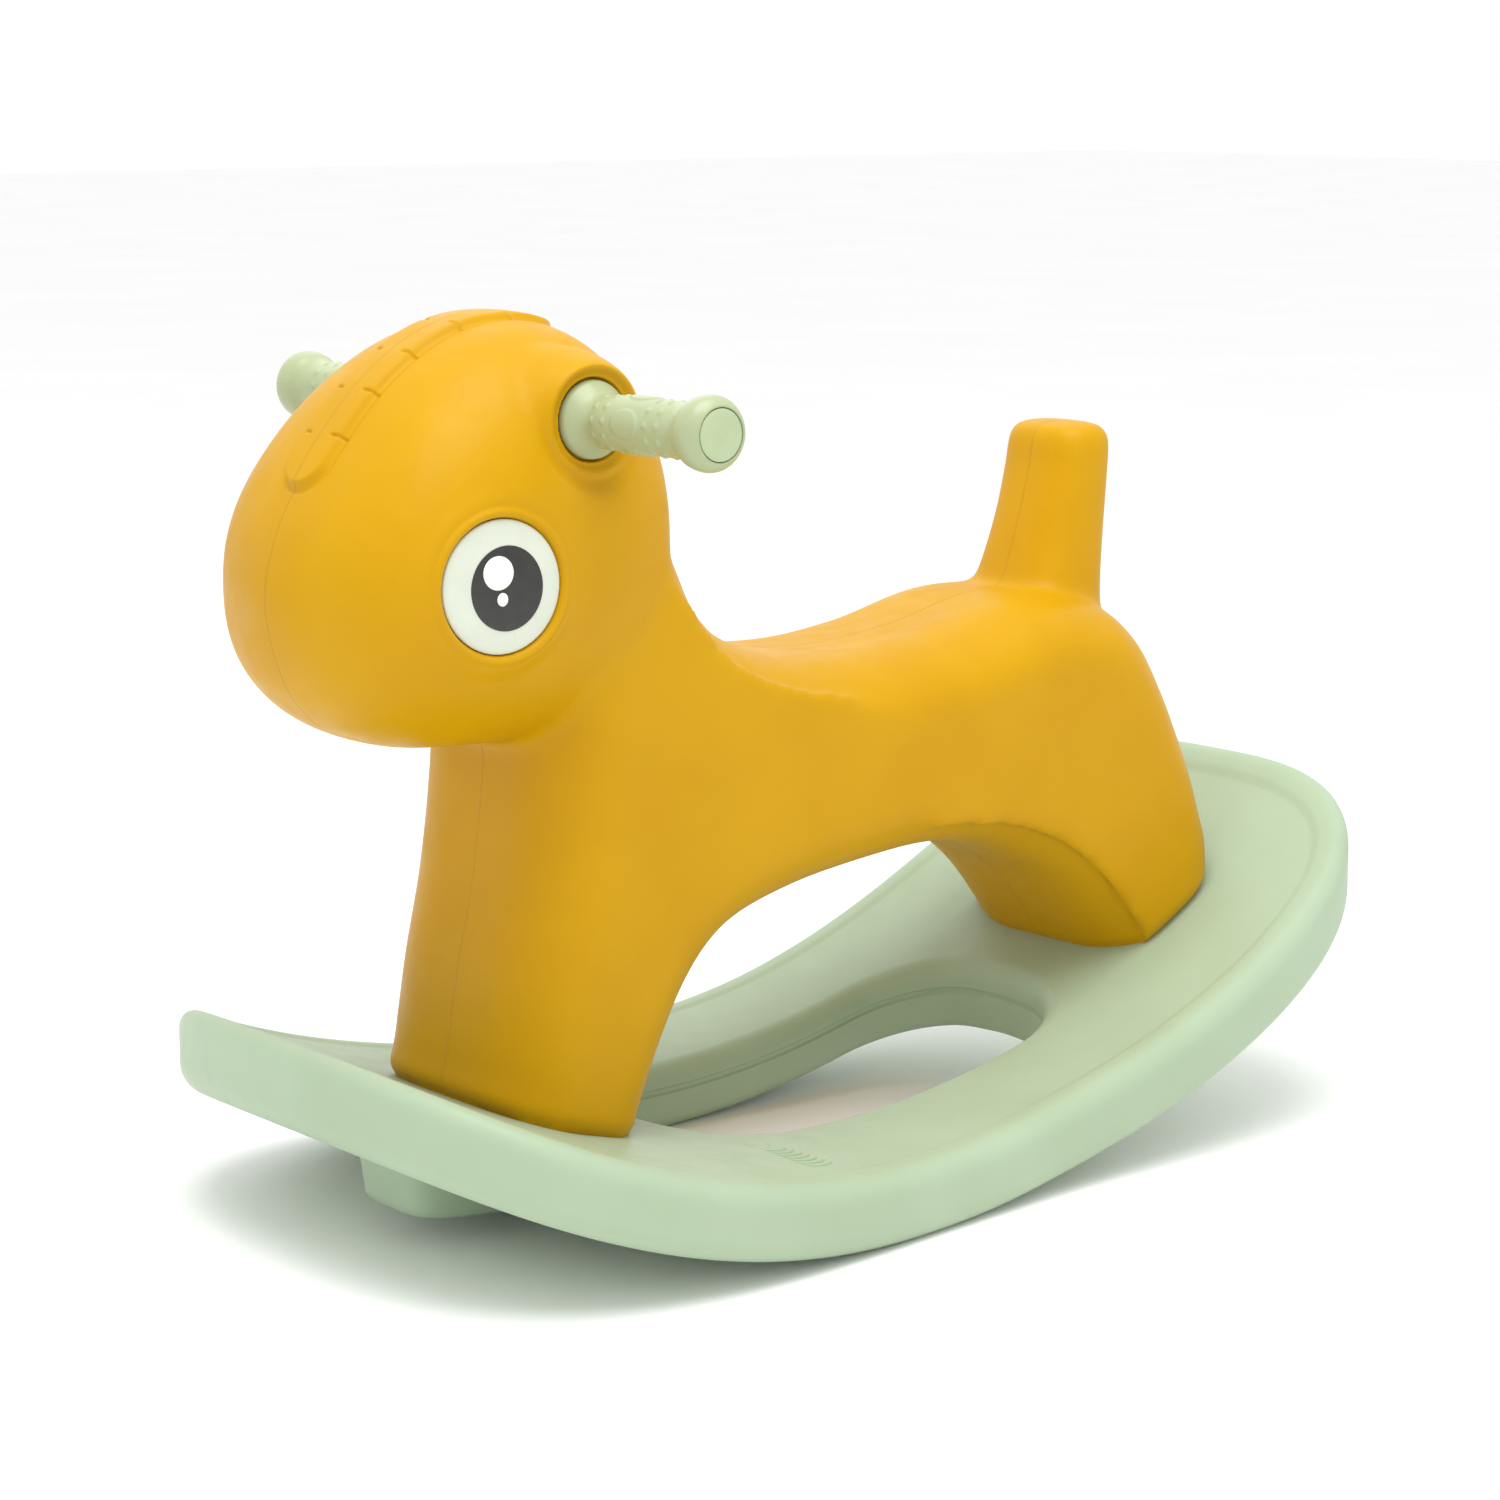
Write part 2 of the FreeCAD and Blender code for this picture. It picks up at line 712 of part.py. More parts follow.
def leg_fasteners(leg):
    """Bolts, washers and threaded inserts of one leg, each kind as one group."""
    seat = washer_seat(leg)
    bottom = insert_bottom(leg)
    top = bottom + size("insert_length")
    radius = size("bolt_diameter") / 2
    bolts = []
    washers = []
    inserts = []
    for place in bolt_places(leg):
        under_washer = seat - size("washer_thickness")
        head = rod(place, size("bolt_head_diameter") / 2, under_washer - size("bolt_head_height"), under_washer)
        head_rim = [e for e in head.Edges if abs(e.BoundBox.Center.z - head.BoundBox.ZMin) < 0.1]
        head = head.makeFillet(size("bolt_head_height") * 0.4, head_rim[:1])
        key = rod(place, radius * 0.6, head.BoundBox.ZMin, head.BoundBox.ZMin + size("bolt_head_height") * 0.5)
        bolts.append(head.cut(key).fuse(rod(place, radius, under_washer, top + 2)))
        ring = rod(place, size("washer_diameter") / 2, under_washer, seat)
        washers.append(ring.cut(rod(place, radius + size("slip"), under_washer, seat)))
        sleeve = rod(place, size("insert_diameter") / 2, bottom, top)
        inserts.append(sleeve.cut(rod(place, radius, bottom, top)))
    return [
        solid_feature(leg + "_leg_bolts", Part.makeCompound(bolts)),
        solid_feature(leg + "_leg_washers", Part.makeCompound(washers)),
        solid_feature(leg + "_leg_inserts", Part.makeCompound(inserts)),
    ]


fasteners = [part for leg in FOOT_MIDDLES for part in leg_fasteners(leg)]


# ---------------------------------------------------------------- export

NODES = [rocker_base, horse_body, handlebar_tube] + grips + hardware + eyes + fasteners
doc.recompute()
for obj in doc.Objects:
    if "Invalid" in obj.State or "Error" in obj.State:
        raise RuntimeError("object %s failed: %s" % (obj.Name, obj.State))
for node in NODES:
    node.Label = node.Name
    if node.Shape.isNull() or not node.Shape.isValid() or not node.Shape.Solids:
        raise RuntimeError("no valid solid in %s" % node.Label)

os.makedirs("parts", exist_ok=True)
for node in NODES:
    node.Shape.exportStep("parts/%s.step" % node.Label)
    print("%-24s %2d solids %12.0f mm3" % (node.Label, len(node.Shape.Solids), node.Shape.Volume))
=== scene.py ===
import json
import logging
import math
from dataclasses import dataclass
from enum import Enum

import bpy
import numpy as np
from mathutils import Matrix, Vector


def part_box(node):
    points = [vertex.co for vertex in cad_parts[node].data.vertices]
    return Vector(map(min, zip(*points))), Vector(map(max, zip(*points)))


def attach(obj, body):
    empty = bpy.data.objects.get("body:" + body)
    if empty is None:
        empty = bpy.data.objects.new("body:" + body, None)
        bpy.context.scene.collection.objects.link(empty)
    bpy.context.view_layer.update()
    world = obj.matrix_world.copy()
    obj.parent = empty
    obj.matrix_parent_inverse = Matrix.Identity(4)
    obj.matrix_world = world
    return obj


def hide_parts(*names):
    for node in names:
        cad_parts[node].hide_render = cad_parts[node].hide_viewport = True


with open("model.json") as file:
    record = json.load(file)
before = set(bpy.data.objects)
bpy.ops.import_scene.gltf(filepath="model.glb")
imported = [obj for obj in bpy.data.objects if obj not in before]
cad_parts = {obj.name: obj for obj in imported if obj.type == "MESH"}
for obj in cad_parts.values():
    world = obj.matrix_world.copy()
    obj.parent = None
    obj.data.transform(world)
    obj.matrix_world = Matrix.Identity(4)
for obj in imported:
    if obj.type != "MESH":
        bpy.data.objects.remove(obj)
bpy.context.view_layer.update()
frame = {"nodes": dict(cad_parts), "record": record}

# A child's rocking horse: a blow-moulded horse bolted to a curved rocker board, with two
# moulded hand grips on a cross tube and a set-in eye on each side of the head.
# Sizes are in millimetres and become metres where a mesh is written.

MM = 0.001
BODY = "root"

Array = np.ndarray
Piece = bpy.types.Object
Tree = bpy.types.NodeTree
Socket = bpy.types.NodeSocket
Material = bpy.types.Material

log = logging.getLogger("rocking_horse")


class Side(Enum):
    """Side of the horse, with the sign of its Y."""

    LEFT = 1
    RIGHT = -1

    @property
    def label(self) -> str:
        """The side's word in the names of nodes and pieces."""
        return self.name.lower()


# ------------------------------------------------------------------ curves and soft steps


def vector(*parts: float) -> Array:
    """A point or direction as an array."""
    return np.array(parts, float)


def step(value: Array) -> Array:
    """Smooth step from 0 to 1 as the value goes from 0 to 1."""
    t = np.clip(value, 0, 1)
    return t * t * (3 - 2 * t)


def hump(value: Array) -> Array:
    """Round hump, 1 in the middle and 0 from -1 and 1 outwards."""
    return np.clip(1 - np.square(value), 0, None) ** 2


def smooth_path(points: list[tuple[float, ...]], steps: int) -> Array:
    """Round curve that passes through every point.

    Args:
        points: The points, in order.
        steps: Pieces of each span.

    Returns:
        The points of the curve, ends included.
    """
    p = np.asarray(points, float)
    p = np.vstack((2 * p[0] - p[1], p, 2 * p[-1] - p[-2]))
    t = np.linspace(0, 1, steps, endpoint=False)[:, None]
    spans = []
    for a, b, c, d in zip(p, p[1:], p[2:], p[3:]):
        bend = (2 * a - 5 * b + 4 * c - d) * t**2 + (3 * b - a - 3 * c + d) * t**3
        spans.append(b + 0.5 * ((c - a) * t + bend))
    return np.vstack(spans + [p[-2]])


def even(points: Array, count: int) -> Array:
    """Resample an open polyline into count + 1 points that are evenly spaced.

    Args:
        points: The polyline.
        count: Number of equal pieces.

    Returns:
        The new points.
    """
    lengths = np.linalg.norm(np.diff(points, axis=0), axis=1)
    run = np.concatenate(([0], np.cumsum(lengths)))
    wanted = np.linspace(0, run[-1], count + 1)
    return np.stack([np.interp(wanted, run, axis) for axis in points.T], axis=1)


def outward(curve: Array) -> Array:
    """Unit normals of a closed plane curve that runs anticlockwise and repeats its first point."""
    ring = curve[:-1]
    along = np.roll(ring, -1, axis=0) - np.roll(ring, 1, axis=0)
    along /= np.linalg.norm(along, axis=1)[:, None]
    normals = np.stack((along[:, 1], -along[:, 0]), axis=1)
    return np.vstack((normals, normals[:1]))


def superellipse(power: float, count: int) -> Array:
    """Closed curve of unit half sizes, squarer than a circle as the power rises above 2."""
    t = np.linspace(0, 2 * math.pi, 1440)
    c, s = np.cos(t), np.sin(t)
    u = np.sign(c) * np.abs(c) ** (2 / power)
    v = np.sign(s) * np.abs(s) ** (2 / power)
    return even(np.stack((u, v), axis=1), count)


def turned(profile: Array, start: Array, axis: Array, across: Array, around: int = 96) -> Array:
    """Rings of a turned shape.

    Args:
        profile: Rows of distance along the axis and radius.
        start: Where the distance is zero.
        axis: Unit direction of the axis.
        across: Unit direction square to the axis.
        around: Points in a ring.

    Returns:
        Rings of points, rows by columns by 3.
    """
    angles = np.linspace(0, 2 * math.pi, around + 1)[:, None]
    circle = np.cos(angles) * across + np.sin(angles) * np.cross(axis, across)
    along = profile[:, 0][:, None, None] * axis
    return start + along + profile[:, 1][:, None, None] * circle


# ------------------------------------------------------------------ the modelling bench


def pick(*pieces: Piece) -> None:
    """Select only these pieces, the first of them active."""
    bpy.ops.object.select_all(action="DESELECT")
    for piece in pieces:
        piece.select_set(True)
    if pieces:
        bpy.context.view_layer.objects.active = pieces[0]


def read(piece: Piece) -> Array:
    """Vertex positions in millimetres."""
    co = np.empty(len(piece.data.vertices) * 3)
    piece.data.vertices.foreach_get("co", co)
    return co.reshape(-1, 3) / MM


def write(piece: Piece, points: Array) -> None:
    """Put the vertices at these positions, in millimetres."""
    piece.data.vertices.foreach_set("co", (points * MM).ravel())
    piece.data.update()


def seal(piece: Piece, capped: bool) -> None:
    """Merge doubled points, close open ends if wanted and turn the faces outwards."""
    pick(piece)
    bpy.ops.object.mode_set(mode="EDIT")
    bpy.ops.mesh.select_all(action="SELECT")
    bpy.ops.mesh.remove_doubles(threshold=1e-6)
    if capped:
        bpy.ops.mesh.fill_holes(sides=0)
    bpy.ops.mesh.normals_make_consistent(inside=False)
    bpy.ops.object.mode_set(mode="OBJECT")


def skin(name: str, rings: Array, capped: bool = False) -> Piece:
    """Roll a flat grid into the surface that passes through rings of points.

    Args:
        name: Name of the piece.
        rings: Rows by columns by 3. The last column repeats the first.
        capped: True to close the first and the last ring with a face.

    Returns:
        The new piece.
    """
    rows, columns = rings.shape[:2]
    pick()
    bpy.ops.mesh.primitive_grid_add(x_subdivisions=columns - 1, y_subdivisions=rows - 1, size=2)
    piece = bpy.context.object
    piece.name = piece.data.name = name
    flat = read(piece) * MM
    column = np.rint((flat[:, 0] + 1) / 2 * (columns - 1)).astype(int)
    row = np.rint((flat[:, 1] + 1) / 2 * (rows - 1)).astype(int)
    write(piece, rings[row, column])
    seal(piece, capped)
    return piece


def joined(first: Piece, *others: Piece) -> Piece:
    """Join pieces into the first one."""
    pick(first, *others)
    bpy.ops.object.join()
    return first


def apply(piece: Piece, kind: str, **settings: object) -> None:
    """Add a modifier with its settings and apply it."""
    pick(piece)
    modifier = piece.modifiers.new(kind.title(), kind)
    for key, value in settings.items():
        setattr(modifier, key, value)
    bpy.ops.object.modifier_apply(modifier=modifier.name)


def refine(piece: Piece, wanted: Array) -> None:
    """Split each face whose centre is wanted into four.

    Args:
        piece: The piece.
        wanted: One truth value per face.
    """
    pick(piece)
    bpy.ops.object.mode_set(mode="EDIT")
    bpy.ops.mesh.select_mode(type="FACE")
    bpy.ops.mesh.select_all(action="DESELECT")
    bpy.ops.object.mode_set(mode="OBJECT")
    piece.data.polygons.foreach_set("select", wanted)
    bpy.ops.object.mode_set(mode="EDIT")
    bpy.ops.mesh.subdivide(number_cuts=1)
    bpy.ops.object.mode_set(mode="OBJECT")


def face_centres(piece: Piece) -> Array:
    """Middles of the faces, in millimetres."""
    co = np.empty(len(piece.data.polygons) * 3)
    piece.data.polygons.foreach_get("center", co)
    return co.reshape(-1, 3) / MM


def vertex_normals(piece: Piece) -> Array:
    """Unit normal at each vertex."""
    co = np.empty(len(piece.data.vertices) * 3, np.float32)
    piece.data.vertex_normals.foreach_get("vector", co)
    return co.reshape(-1, 3).astype(float)


def complete(piece: Piece, material: Material, nodes: list[str], angle: float = 40) -> None:
    """Shade a finished piece, dress it and put it in the place of CAD nodes.

    Args:
        piece: The piece.
        material: Its finish.
        nodes: CAD nodes that it stands for.
        angle: Edges sharper than this many degrees stay crisp.
    """
    pick(piece)
    bpy.ops.object.shade_smooth_by_angle(angle=math.radians(angle))
    piece.data.materials.clear()
    piece.data.materials.append(material)
    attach(piece, BODY)
    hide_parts(*nodes)
    log.info("%s: %d faces", piece.name, len(piece.data.polygons))


def middle_of(node: str) -> Array:
    """Middle of a CAD node's box, in millimetres."""
    low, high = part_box(node)
    return np.array((low + high) / 2) / MM


# ------------------------------------------------------------------ finishes


def linear(colour: str) -> tuple[float, float, float, float]:
    """Linear colour, with alpha, of an sRGB hex value."""
    parts = [int(colour[i : i + 2], 16) / 255 for i in (1, 3, 5)]
    parts = [p / 12.92 if p <= 0.04045 else ((p + 0.055) / 1.055) ** 2.4 for p in parts]
    return (*parts, 1.0)


def add(tree: Tree, kind: str, settings: dict | None = None, inputs: dict | None = None) -> bpy.types.Node:
    """Add a node with its settings, input values and links.

    Args:
        tree: The node tree.
        kind: The node's type.
        settings: Values of the node's own properties.
        inputs: A value or a socket to link, by input name or number.

    Returns:
        The new node.
    """
    node = tree.nodes.new(kind)
    for key, value in (settings or {}).items():
        setattr(node, key, value)
    for key, value in (inputs or {}).items():
        if isinstance(value, Socket):
            tree.links.new(value, node.inputs[key])
        else:
            node.inputs[key].default_value = value
    return node


def new_material(name: str) -> tuple[Material, Tree, Socket]:
    """An empty material, its tree and its object coordinates."""
    material = bpy.data.materials.new(name)
    material.use_nodes = True
    tree = material.node_tree
    tree.nodes.clear()
    place = add(tree, "ShaderNodeTexCoord").outputs["Object"]
    return material, tree, place


def noise(tree: Tree, place: Socket, grain: float, detail: float = 2.0) -> Socket:
    """Noise whose blotches are grain millimetres wide."""
    inputs = {"Vector": place, "Scale": 1 / (grain * MM), "Detail": detail}
    return add(tree, "ShaderNodeTexNoise", {}, inputs).outputs["Fac"]


def ranged(tree: Tree, value: Socket, start: tuple[float, float], end: tuple[float, float]) -> Socket:
    """Map a value from one range to another, smoothly."""
    inputs = {"Value": value, 1: start[0], 2: start[1], 3: end[0], 4: end[1]}
    settings = {"interpolation_type": "SMOOTHSTEP"}
    return add(tree, "ShaderNodeMapRange", settings, inputs).outputs["Result"]


def blended(tree: Tree, share: Socket, first: object, second: object) -> Socket:
    """Mix two colours by a share."""
    inputs = {0: share, 6: first, 7: second}
    return add(tree, "ShaderNodeMix", {"data_type": "RGBA"}, inputs).outputs[2]


def bumped(tree: Tree, height: Socket, depth: float, below: Socket | None = None) -> Socket:
    """Normal of a surface with this height pattern, depth millimetres deep."""
    inputs = {"Height": height, "Distance": depth * MM, "Strength": 1.0}
    if below is not None:
        inputs["Normal"] = below
    return add(tree, "ShaderNodeBump", {}, inputs).outputs["Normal"]


def close(tree: Tree, **shader: object) -> None:
    """End a material with its shader and output."""
    inputs = {key.replace("_", " "): value for key, value in shader.items()}
    surface = add(tree, "ShaderNodeBsdfPrincipled", {}, inputs)
    add(tree, "ShaderNodeOutputMaterial", {}, {"Surface": surface.outputs[0]})


@dataclass(frozen=True)
class MouldedPlastic:
    """A thermoplastic with the skin of its mould: faint orange peel, soft colour drift, fine scuffs."""

    name: str
    colour: str
    shade: str
    roughness: float
    spread: float = 0.06
    peel: float = 1.6
    peel_depth: float = 0.03
    drift: float = 60.0
    seam: float = 0.0
    coat: float = 0.0
    gloss: float = 0.5

    def make(self) -> Material:
        """Build the node material."""
        material, tree, place = new_material(self.name)
        drift = ranged(tree, noise(tree, place, self.drift), (0.3, 0.7), (0.0, 1.0))
        speck = ranged(tree, noise(tree, place, 2.5, 4.0), (0.62, 0.8), (0.0, 0.18))
        base = blended(tree, drift, linear(self.colour), linear(self.shade))
        base = blended(tree, speck, base, linear(self.shade))
        # rubbed patches a centimetre or two wide
        rubbed = noise(tree, place, 14.0, 5.0)
        limits = (self.roughness - self.spread, self.roughness + self.spread)
        roughness = ranged(tree, rubbed, (0.25, 0.75), limits)
        # the mould's fine skin, over slow waves from the shell's cooling
        normal = bumped(tree, noise(tree, place, self.peel), self.peel_depth)
        normal = bumped(tree, noise(tree, place, 9.0), self.peel_depth * 2, normal)
        if self.seam:
            normal = self.parting_line(tree, place, normal)
        close(
            tree, Base_Color=base, Roughness=roughness, IOR=1.5, Specular_IOR_Level=self.gloss, Normal=normal,
            Coat_Weight=self.coat, Coat_Roughness=0.12,
        )
        return material

    def parting_line(self, tree: Tree, place: Socket, normal: Socket) -> Socket:
        """Thin raised line where the two mould halves met, on the plane Y = 0."""
        across = add(tree, "ShaderNodeSeparateXYZ", {}, {0: place}).outputs["Y"]
        offset = add(tree, "ShaderNodeMath", {"operation": "ABSOLUTE"}, {0: across}).outputs[0]
        line = ranged(tree, offset, (0.0, self.seam * MM), (1.0, 0.0))
        return bumped(tree, line, 0.35, normal)


@dataclass(frozen=True)
class WorkedMetal:
    """A metal with fine tool or drawing lines that run round or along one axis."""

    name: str
    colour: str
    shade: str
    roughness: float
    line: float
    stretch: tuple[float, float, float]

    def make(self) -> Material:
        """Build the node material."""
        material, tree, place = new_material(self.name)
        scaled = add(tree, "ShaderNodeMapping", {}, {"Vector": place, "Scale": self.stretch}).outputs[0]
        lines = noise(tree, scaled, self.line, 6.0)
        stain = ranged(tree, noise(tree, place, 5.0, 4.0), (0.35, 0.75), (0.0, 1.0))
        base = blended(tree, stain, linear(self.colour), linear(self.shade))
        roughness = ranged(tree, lines, (0.3, 0.7), (self.roughness - 0.08, self.roughness + 0.1))
        close(tree, Base_Color=base, Roughness=roughness, Metallic=1.0, Normal=bumped(tree, lines, 0.02))
        return material


# Blow-moulded high-density polyethylene: satin, with waxy broad highlights.
HORSE_PLASTIC = MouldedPlastic("Yellow_blow_moulded_HDPE", "#c79602", "#c39101", 0.42, seam=0.9, gloss=0.15)
BOARD_PLASTIC = MouldedPlastic("Sage_blow_moulded_HDPE", "#a8bb9f", "#a4b79a", 0.44, gloss=0.25)
# Injection-moulded polypropylene: smoother than the blown shells.
GRIP_PLASTIC = MouldedPlastic("Sage_injection_moulded_PP", "#a7b289", "#a2ad84", 0.32, 0.05, 0.9, 0.012, 25)
CAP_PLASTIC = MouldedPlastic("Sage_moulded_PP_cap", "#b0c097", "#abbb91", 0.36, 0.05, 0.8, 0.01, 12)
# Injection-moulded ABS: glossy, and the marks on it are pad-printed ink under a clear lacquer.
EYE_WHITE = MouldedPlastic("White_moulded_ABS", "#d2d8c8", "#cdd3c3", 0.26, 0.05, 1.2, 0.01, 20)
EYE_BLACK = MouldedPlastic("Black_pad_printed_ink", "#1d1e1b", "#262722", 0.3, 0.08, 0.5, 0.006, 8, coat=0.2)
EYE_GLINT = MouldedPlastic("White_pad_printed_ink", "#f2f4ec", "#e9ecdf", 0.32, 0.06, 0.5, 0.006, 6)
PLUG_PLASTIC = MouldedPlastic("Black_moulded_nylon", "#2b2c2b", "#333432", 0.45, 0.06, 0.8, 0.02, 6)
# Zinc-plated steel: bright grey with a faint blotch; drawn aluminium: long lines along the tube.
ZINC_STEEL = WorkedMetal("Zinc_plated_steel", "#c3c6c8", "#a9adb0", 0.34, 0.6, (1.0, 1.0, 6.0))
BRASS = WorkedMetal("Turned_brass", "#c9a24f", "#b08a3c", 0.3, 0.5, (1.0, 1.0, 8.0))
ALUMINIUM = WorkedMetal("Drawn_aluminium", "#d2d4d6", "#bfc2c4", 0.32, 0.7, (1.0, 0.08, 1.0))


# ------------------------------------------------------------------ rocker board


@dataclass
class RockerBoard:
    """The curved board: a blow-moulded slab with a hand opening, a tip stop and foot-rest ribs."""

    length: float
    middle: float
    radius: float = 560.0
    thickness: float = 38.0
    front_width: float = 350.0
    rear_width: float = 302.0
    front_bluntness: float = 6.4
    rear_bluntness: float = 8.0
    side_bluntness: float = 3.0
    edge_round: float = 12.0
    lower_round: float = 10.0
    border: float = 9.0
    recess: float = 1.4
    groove_share: float = 0.42
    opening_front: float = 113.0
    opening_rear: float = -144.0
    opening_half_width: float = 66.0
    opening_corner: float = 50.0
    opening_rim: float = 9.0
    stop_angle: float = 5.0
    stop_near: float = 104.0
    stop_far: float = 212.0
    stop_half_width: float = 29.0
    around: int = 320

    def height(self, x: Array, depth: Array | float) -> Array:
        """Height of a point that lies depth under the board's top face."""
        reach = self.radius - self.thickness + depth
        return self.radius - np.sqrt(reach**2 - (x - self.middle) ** 2)

    def outline(self) -> Array:
        """Plan of the board: broad in front, a soft waist, narrower behind, blunt at both ends."""
        t = np.linspace(0, 2 * math.pi, 4000)
        bluntness = np.where(np.cos(t) > 0, self.front_bluntness, self.rear_bluntness)
        c = np.sign(np.cos(t)) * np.abs(np.cos(t)) ** (2 / bluntness)
        s = np.sign(np.sin(t)) * np.abs(np.sin(t)) ** (2 / self.side_bluntness)
        share = step((c + 0.3) / 0.9)
        half = (self.rear_width + (self.front_width - self.rear_width) * share) / 2
        return even(np.stack((c * self.length / 2, s * half), axis=1), self.around)

    def opening(self, outline: Array) -> Array:
        """Plan of the opening, each point in line with the outline's point of the same number."""
        middle = (self.opening_front + self.opening_rear) / 2
        half_length = (self.opening_front - self.opening_rear) / 2
        angle = np.linspace(-math.pi, math.pi, 4001)
        c, s = np.cos(angle), np.sin(angle)
        corner = self.opening_corner
        straight = vector(half_length - corner, self.opening_half_width - corner)
        x = c * corner + np.sign(c) * straight[0]
        y = s * corner + np.sign(s) * straight[1]
        points = even(np.stack((x, y), axis=1), 4000)
        directions = np.arctan2(points[:, 1], points[:, 0])
        order = np.argsort(directions)
        reach = np.linalg.norm(points, axis=1)
        wanted = np.arctan2(outline[:, 1], outline[:, 0] - middle)
        found = np.interp(wanted, directions[order], reach[order], period=2 * math.pi)
        return np.stack((middle + found * np.cos(wanted), found * np.sin(wanted)), axis=1)

    def slab(self) -> Piece:
        """The board as one closed skin, round its outer wall and down through the opening."""
        outer = self.outline()
        inner = self.opening(outer)
        outer_normals = outward(outer)
        inner_normals = outward(inner)
        rings = []

        def ring(share: float, out_inset: float, in_grow: float, depth: float) -> None:
            edge = outer - outer_normals * out_inset
            hole = inner + inner_normals * in_grow
            plan = edge + (hole - edge) * share
            height = self.height(plan[:, 0], depth)
            rings.append(np.column_stack((plan, height)))

        quarter = [math.radians(a) for a in np.linspace(0, 90, 9)]
        for a in quarter:
            ring(0, self.edge_round * (1 - math.sin(a)), 0, self.edge_round * (1 - math.cos(a)))
        for share in (0.25, 0.5, 0.75):
            ring(0, 0, 0, self.edge_round + share * (self.thickness - self.edge_round - self.lower_round))
        for a in quarter:
            inset = self.lower_round * (1 - math.cos(a))
            ring(0, inset, 0, self.thickness - self.lower_round * (1 - math.sin(a)))
        rim = self.opening_rim
        for share in (0.2, 0.4, 0.6, 0.8):
            ring(share, self.lower_round, rim, self.thickness)
        for a in quarter:
            ring(1, 0, rim * (1 - math.sin(a)), self.thickness - rim * (1 - math.cos(a)))
        # a shallow groove runs round the opening's wall under its rounded rim
        groove = self.thickness * self.groove_share
        for drop, grow in ((4.0, 0.0), (2.0, 0.0), (1.0, 1.2), (-1.0, 1.2), (-2.0, 0.0), (-3.5, 0.0)):
            ring(1, 0, grow, groove + drop)
        for a in quarter:
            ring(1, 0, rim * (1 - math.cos(a)), self.recess + rim * (1 - math.sin(a)))
        for share in (0.86, 0.7, 0.54, 0.38, 0.22):
            ring(share, self.edge_round + self.border, rim, self.recess)
        for share in np.linspace(0, 1, 7):
            depth = self.recess * float(step(1 - share))
            ring(0, self.edge_round + self.border * (1 - 0.6 * share), 0, depth)
        rings.append(rings[0])
        return skin("rocker_board_shell", np.array(rings))

    def stop(self) -> Piece:
        """Wedge under the front that meets the floor when the horse tips to its limit."""
        angle = math.radians(self.stop_angle)
        touch = self.radius * math.sin(angle)
        lift = self.radius * (1 - math.cos(angle))
        section = superellipse(5.0, 96)
        half_run = (self.stop_far - self.stop_near) / 2
        centre = self.middle + (self.stop_far + self.stop_near) / 2
        rounding = 7.0
        rings = []
        quarter = [math.radians(a) for a in np.linspace(0, 90, 8)]
        levels = [(rounding * (1 - math.sin(a)), rounding * (1 - math.cos(a))) for a in quarter]
        levels += [(-draft, rounding + rise) for draft, rise in ((1.5, 12.0), (4.0, 26.0), (8.0, 40.0))]
        inside_board = self.thickness * 0.6
        for inset, rise in levels:
            x = centre + section[:, 0] * (half_run - inset)
            y = section[:, 1] * (self.stop_half_width - inset * 0.6)
            sole = lift + (x - self.middle - touch) * math.tan(angle)
            height = np.minimum(sole + rise, self.height(x, inside_board))
            rings.append(np.column_stack((x, y, height)))
        return skin("tip_stop", np.array(rings), capped=True)

    def rib(self, x: float, y: float, side: Side, bow: float) -> Piece:
        """Small raised crescent on the top face, where a foot rests."""
        angles = np.radians(np.linspace(-52, 52, 17))
        turn = np.linspace(0, 2 * math.pi, 13)
        rings = []
        for a in angles:
            thick = 1.1 * math.sqrt(max(0.02, 1 - (a / angles[-1]) ** 2))
            reach = bow + thick * np.cos(turn)
            px = x + reach * math.sin(a)
            py = side.value * (y + reach * math.cos(a) - bow)
            rings.append(np.column_stack((px, py, self.height(px, self.recess) + thick * np.sin(turn))))
        return skin("foot_rest_rib", np.array(rings), capped=True)

    def pad(self, x: float, y: float, side: Side) -> Piece:
        """Low round button at the inner end of the ribs."""
        profile = np.array([(-1.0, 7.5), (0.0, 7.0), (0.9, 5.6), (1.5, 3.6), (1.8, 1.6), (1.9, 0.0)])
        start = vector(x, side.value * y, self.height(vector(x), self.recess)[0])
        rings = turned(profile, start, vector(0, 0, 1), vector(1, 0, 0), 36)
        return skin("foot_rest_pad", rings, capped=True)

    def build(self) -> Piece:
        """Model the whole board as one piece."""
        parts = [self.slab(), self.stop()]
        for side in Side:
            parts += [self.rib(95, 101 + 5.4 * i, side, 9.0 + 0.5 * i) for i in range(7)]
            parts.append(self.pad(99, 88, side))
        board = joined(*parts)
        board.name = board.data.name = "rocker_board"
        return board

    def dress(self, piece: Piece) -> None:
        """Give the board its moulded finish and its place."""
        complete(piece, BOARD_PLASTIC.make(), ["rocker_base"], 35)


# ------------------------------------------------------------------ horse body


